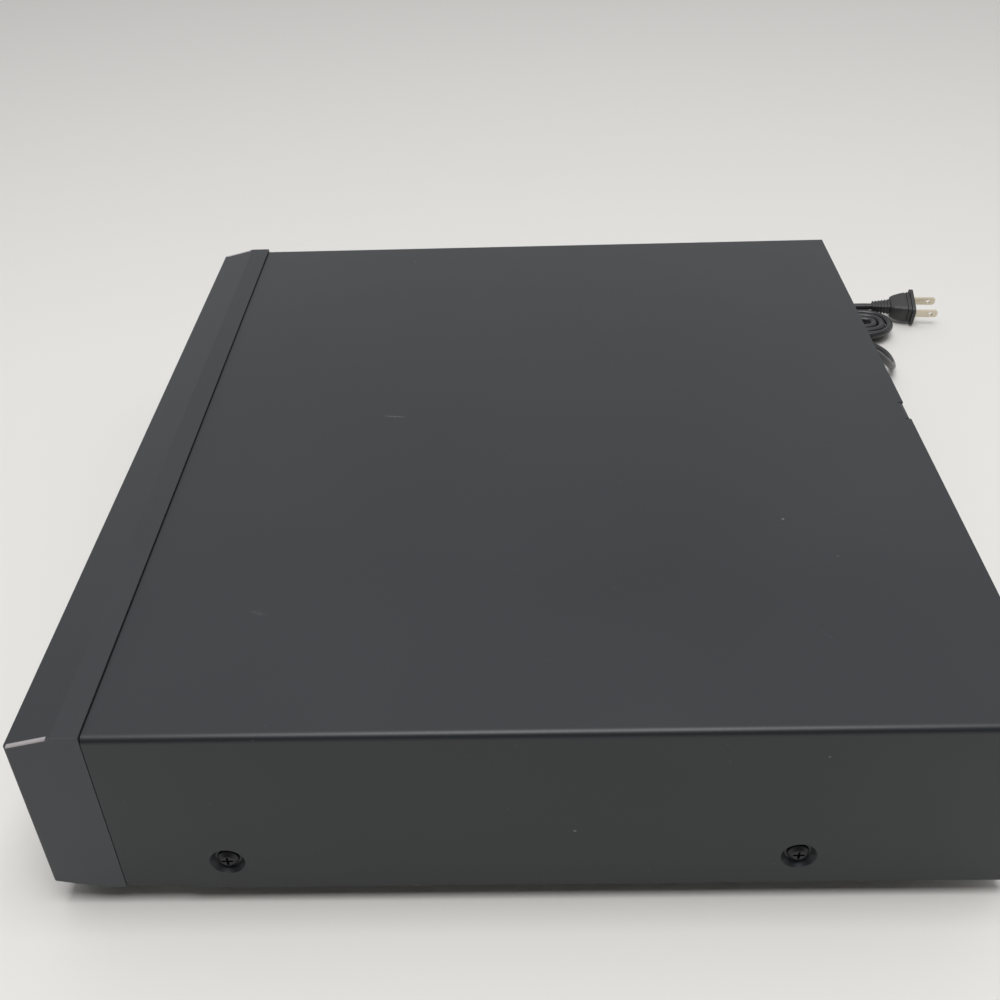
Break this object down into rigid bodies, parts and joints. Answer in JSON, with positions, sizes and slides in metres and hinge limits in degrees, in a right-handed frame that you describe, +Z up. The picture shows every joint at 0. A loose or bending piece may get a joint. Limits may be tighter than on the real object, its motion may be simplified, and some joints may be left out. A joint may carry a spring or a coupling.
{
  "type": "dvd changer",
  "caption": "Full-width disc player with a folded steel cover, sloped front panel and a sliding drawer that carries a turning disc carousel.",
  "frame": {"origin": "centre of the bounding box's base, without the cord, on the surface that the feet stand on", "axes": "+X to the right seen from the front, +Y from the front panel to the rear panel, +Z up"},
  "size_m": [0.5122, 0.5, 0.0988],
  "materials": {
    "black_steel": "satin",
    "plated_steel": "satin",
    "core_steel": "varnished",
    "black_plastic": "fine moulded",
    "button_plastic": "smooth",
    "deck_plastic": "moulded",
    "gear_plastic": "natural",
    "pale_trim": "satin",
    "smoked_window": "clear smoked",
    "tube_glass": "clear",
    "circuit_board": "laminate",
    "pad_rubber": "matt",
    "belt_rubber": "matt",
    "bare_aluminium": "extruded",
    "polished_steel": "ground",
    "cord_vinyl": "smooth",
    "tie_plastic": "matt",
    "blade_brass": "bright"
  },
  "bodies": {
    "case": {"top_cover": "black_steel", "chassis_pan": "plated_steel", "rear_panel": "black_steel", "front_bezel": "black_plastic", "bezel_edge_trims": "pale_trim", "display_window": "smoked_window", "front_board": "circuit_board", "display_tube": "tube_glass", "tact_switches": "black_plastic", "feet": "black_plastic", "foot_pads": "pad_rubber", "foot_screws": "plated_steel", "case_screws": "black_steel", "mechanism_deck": "deck_plastic", "deck_screws": "plated_steel", "clamp_bridge": "plated_steel", "main_board": "circuit_board", "main_board_parts": "black_plastic", "power_board": "circuit_board", "power_transformer": "core_steel", "filter_capacitors": "black_plastic", "heat_sink": "bare_aluminium", "av_jack_block": "black_plastic", "av_jack_shells": "plated_steel", "s_video_socket": "black_plastic", "optical_socket": "black_plastic", "load_motor": "plated_steel", "load_belt": "belt_rubber", "cord_bush": "black_plastic", "power_cord": "cord_vinyl", "cord_hank": "cord_vinyl", "cord_tie": "tie_plastic", "power_plug": "cord_vinyl", "plug_blades": "blade_brass"},
    "drawer": {"drawer_tray": "deck_plastic", "drawer_front": "black_plastic", "carousel_motor": "plated_steel"},
    "carousel": {"carousel_table": "deck_plastic", "carousel_cap": "black_plastic"},
    "carousel_pinion": {"carousel_drive_gear": "gear_plastic"},
    "load_wheel": {"load_drive_gear": "gear_plastic"},
    "pulley_wheel": {"load_pulley_gear": "gear_plastic"},
    "motor_wheel": {"load_motor_pulley": "gear_plastic"},
    "cam": {"cam_slider": "gear_plastic"},
    "traverse": {"traverse_base": "deck_plastic", "spindle_motor": "plated_steel", "guide_shafts": "polished_steel", "sled_motor": "plated_steel"},
    "hub": {"disc_hub": "black_plastic"},
    "pickup": {"pickup_sled": "black_plastic"},
    "sled_wheel": {"sled_gear": "gear_plastic"},
    "clamp": {"clamp_puck": "black_plastic"},
    "power_button_cap": {"power_button": "button_plastic"},
    "open_close_button_cap": {"open_close_button": "button_plastic"},
    "disc_skip_button_cap": {"disc_skip_button": "button_plastic"},
    "play_button_cap": {"play_button": "button_plastic"},
    "pause_button_cap": {"pause_button": "button_plastic"},
    "stop_button_cap": {"stop_button": "button_plastic"},
    "previous_button_cap": {"previous_button": "button_plastic"},
    "next_button_cap": {"next_button": "button_plastic"}
  },
  "joints": [
    {"name": "drawer_slide", "type": "slide", "parent": "case", "child": "drawer", "axis": [0, -1, 0], "range_m": [0, 0.232]},
    {"name": "carousel_spin", "type": "hinge", "parent": "drawer", "child": "carousel", "pos_m": [0, -0.0168, 0.06], "axis": [0, 0, 1], "continuous": true},
    {"name": "carousel_pinion_spin", "type": "hinge", "parent": "drawer", "child": "carousel_pinion", "pos_m": [-0.12834, -0.14514, 0.059], "axis": [0, 0, 1], "continuous": true},
    {"name": "load_drive_spin", "type": "hinge", "parent": "case", "child": "load_wheel", "pos_m": [-0.124, -0.1548, 0.05], "axis": [0, 0, 1], "range_deg": [0, 740]},
    {"name": "load_pulley_spin", "type": "hinge", "parent": "case", "child": "pulley_wheel", "pos_m": [-0.0985, -0.1548, 0.05], "axis": [0, 0, 1], "range_deg": [-1775, 0]},
    {"name": "load_motor_spin", "type": "hinge", "parent": "case", "child": "motor_wheel", "pos_m": [-0.0605, -0.1548, 0.046], "axis": [0, 0, 1], "range_deg": [-5575, 0]},
    {"name": "traverse_lift", "type": "slide", "parent": "case", "child": "traverse", "axis": [0, 0, 1], "range_m": [0, 0.012]},
    {"name": "cam_slide", "type": "slide", "parent": "case", "child": "cam", "axis": [1, 0, 0], "range_m": [0, 0.036]},
    {"name": "hub_spin", "type": "hinge", "parent": "traverse", "child": "hub", "pos_m": [0, 0.0877, 0.055], "axis": [0, 0, 1], "continuous": true},
    {"name": "pickup_slide", "type": "slide", "parent": "traverse", "child": "pickup", "axis": [0, -1, 0], "range_m": [0, 0.034]},
    {"name": "sled_gear_spin", "type": "hinge", "parent": "traverse", "child": "sled_wheel", "pos_m": [-0.051, 0.0452, 0.042], "axis": [0, 0, 1], "range_deg": [-244, 0]},
    {"name": "clamp_spin", "type": "hinge", "parent": "case", "child": "clamp", "pos_m": [0, 0.0877, 0.077], "axis": [0, 0, 1], "continuous": true},
    {"name": "power_button_press", "type": "slide", "parent": "case", "child": "power_button_cap", "axis": [0, 1, 0], "range_m": [0, 0.0008], "stiffness_N_per_m": 900},
    {"name": "open_close_button_press", "type": "slide", "parent": "case", "child": "open_close_button_cap", "axis": [0, 1, 0], "range_m": [0, 0.0008], "stiffness_N_per_m": 900},
    {"name": "disc_skip_button_press", "type": "slide", "parent": "case", "child": "disc_skip_button_cap", "axis": [0, 1, 0], "range_m": [0, 0.0008], "stiffness_N_per_m": 900},
    {"name": "play_button_press", "type": "slide", "parent": "case", "child": "play_button_cap", "axis": [0, 1, 0], "range_m": [0, 0.0008], "stiffness_N_per_m": 900},
    {"name": "pause_button_press", "type": "slide", "parent": "case", "child": "pause_button_cap", "axis": [0, 1, 0], "range_m": [0, 0.0008], "stiffness_N_per_m": 900},
    {"name": "stop_button_press", "type": "slide", "parent": "case", "child": "stop_button_cap", "axis": [0, 1, 0], "range_m": [0, 0.0008], "stiffness_N_per_m": 900},
    {"name": "previous_button_press", "type": "slide", "parent": "case", "child": "previous_button_cap", "axis": [0, 1, 0], "range_m": [0, 0.0008], "stiffness_N_per_m": 900},
    {"name": "next_button_press", "type": "slide", "parent": "case", "child": "next_button_cap", "axis": [0, 1, 0], "range_m": [0, 0.0008], "stiffness_N_per_m": 900}
  ],
  "couplings": [
    {"joint": "carousel_pinion_spin", "follows": "carousel_spin", "ratio": -6.1176},
    {"joint": "load_drive_spin", "follows": "drawer_slide", "rad_per_m": 55.556},
    {"joint": "load_pulley_spin", "follows": "drawer_slide", "rad_per_m": -133.33},
    {"joint": "load_motor_spin", "follows": "drawer_slide", "rad_per_m": -419.05},
    {"joint": "cam_slide", "follows": "traverse_lift", "ratio": 3},
    {"joint": "sled_gear_spin", "follows": "pickup_slide", "rad_per_m": -125}
  ]
}
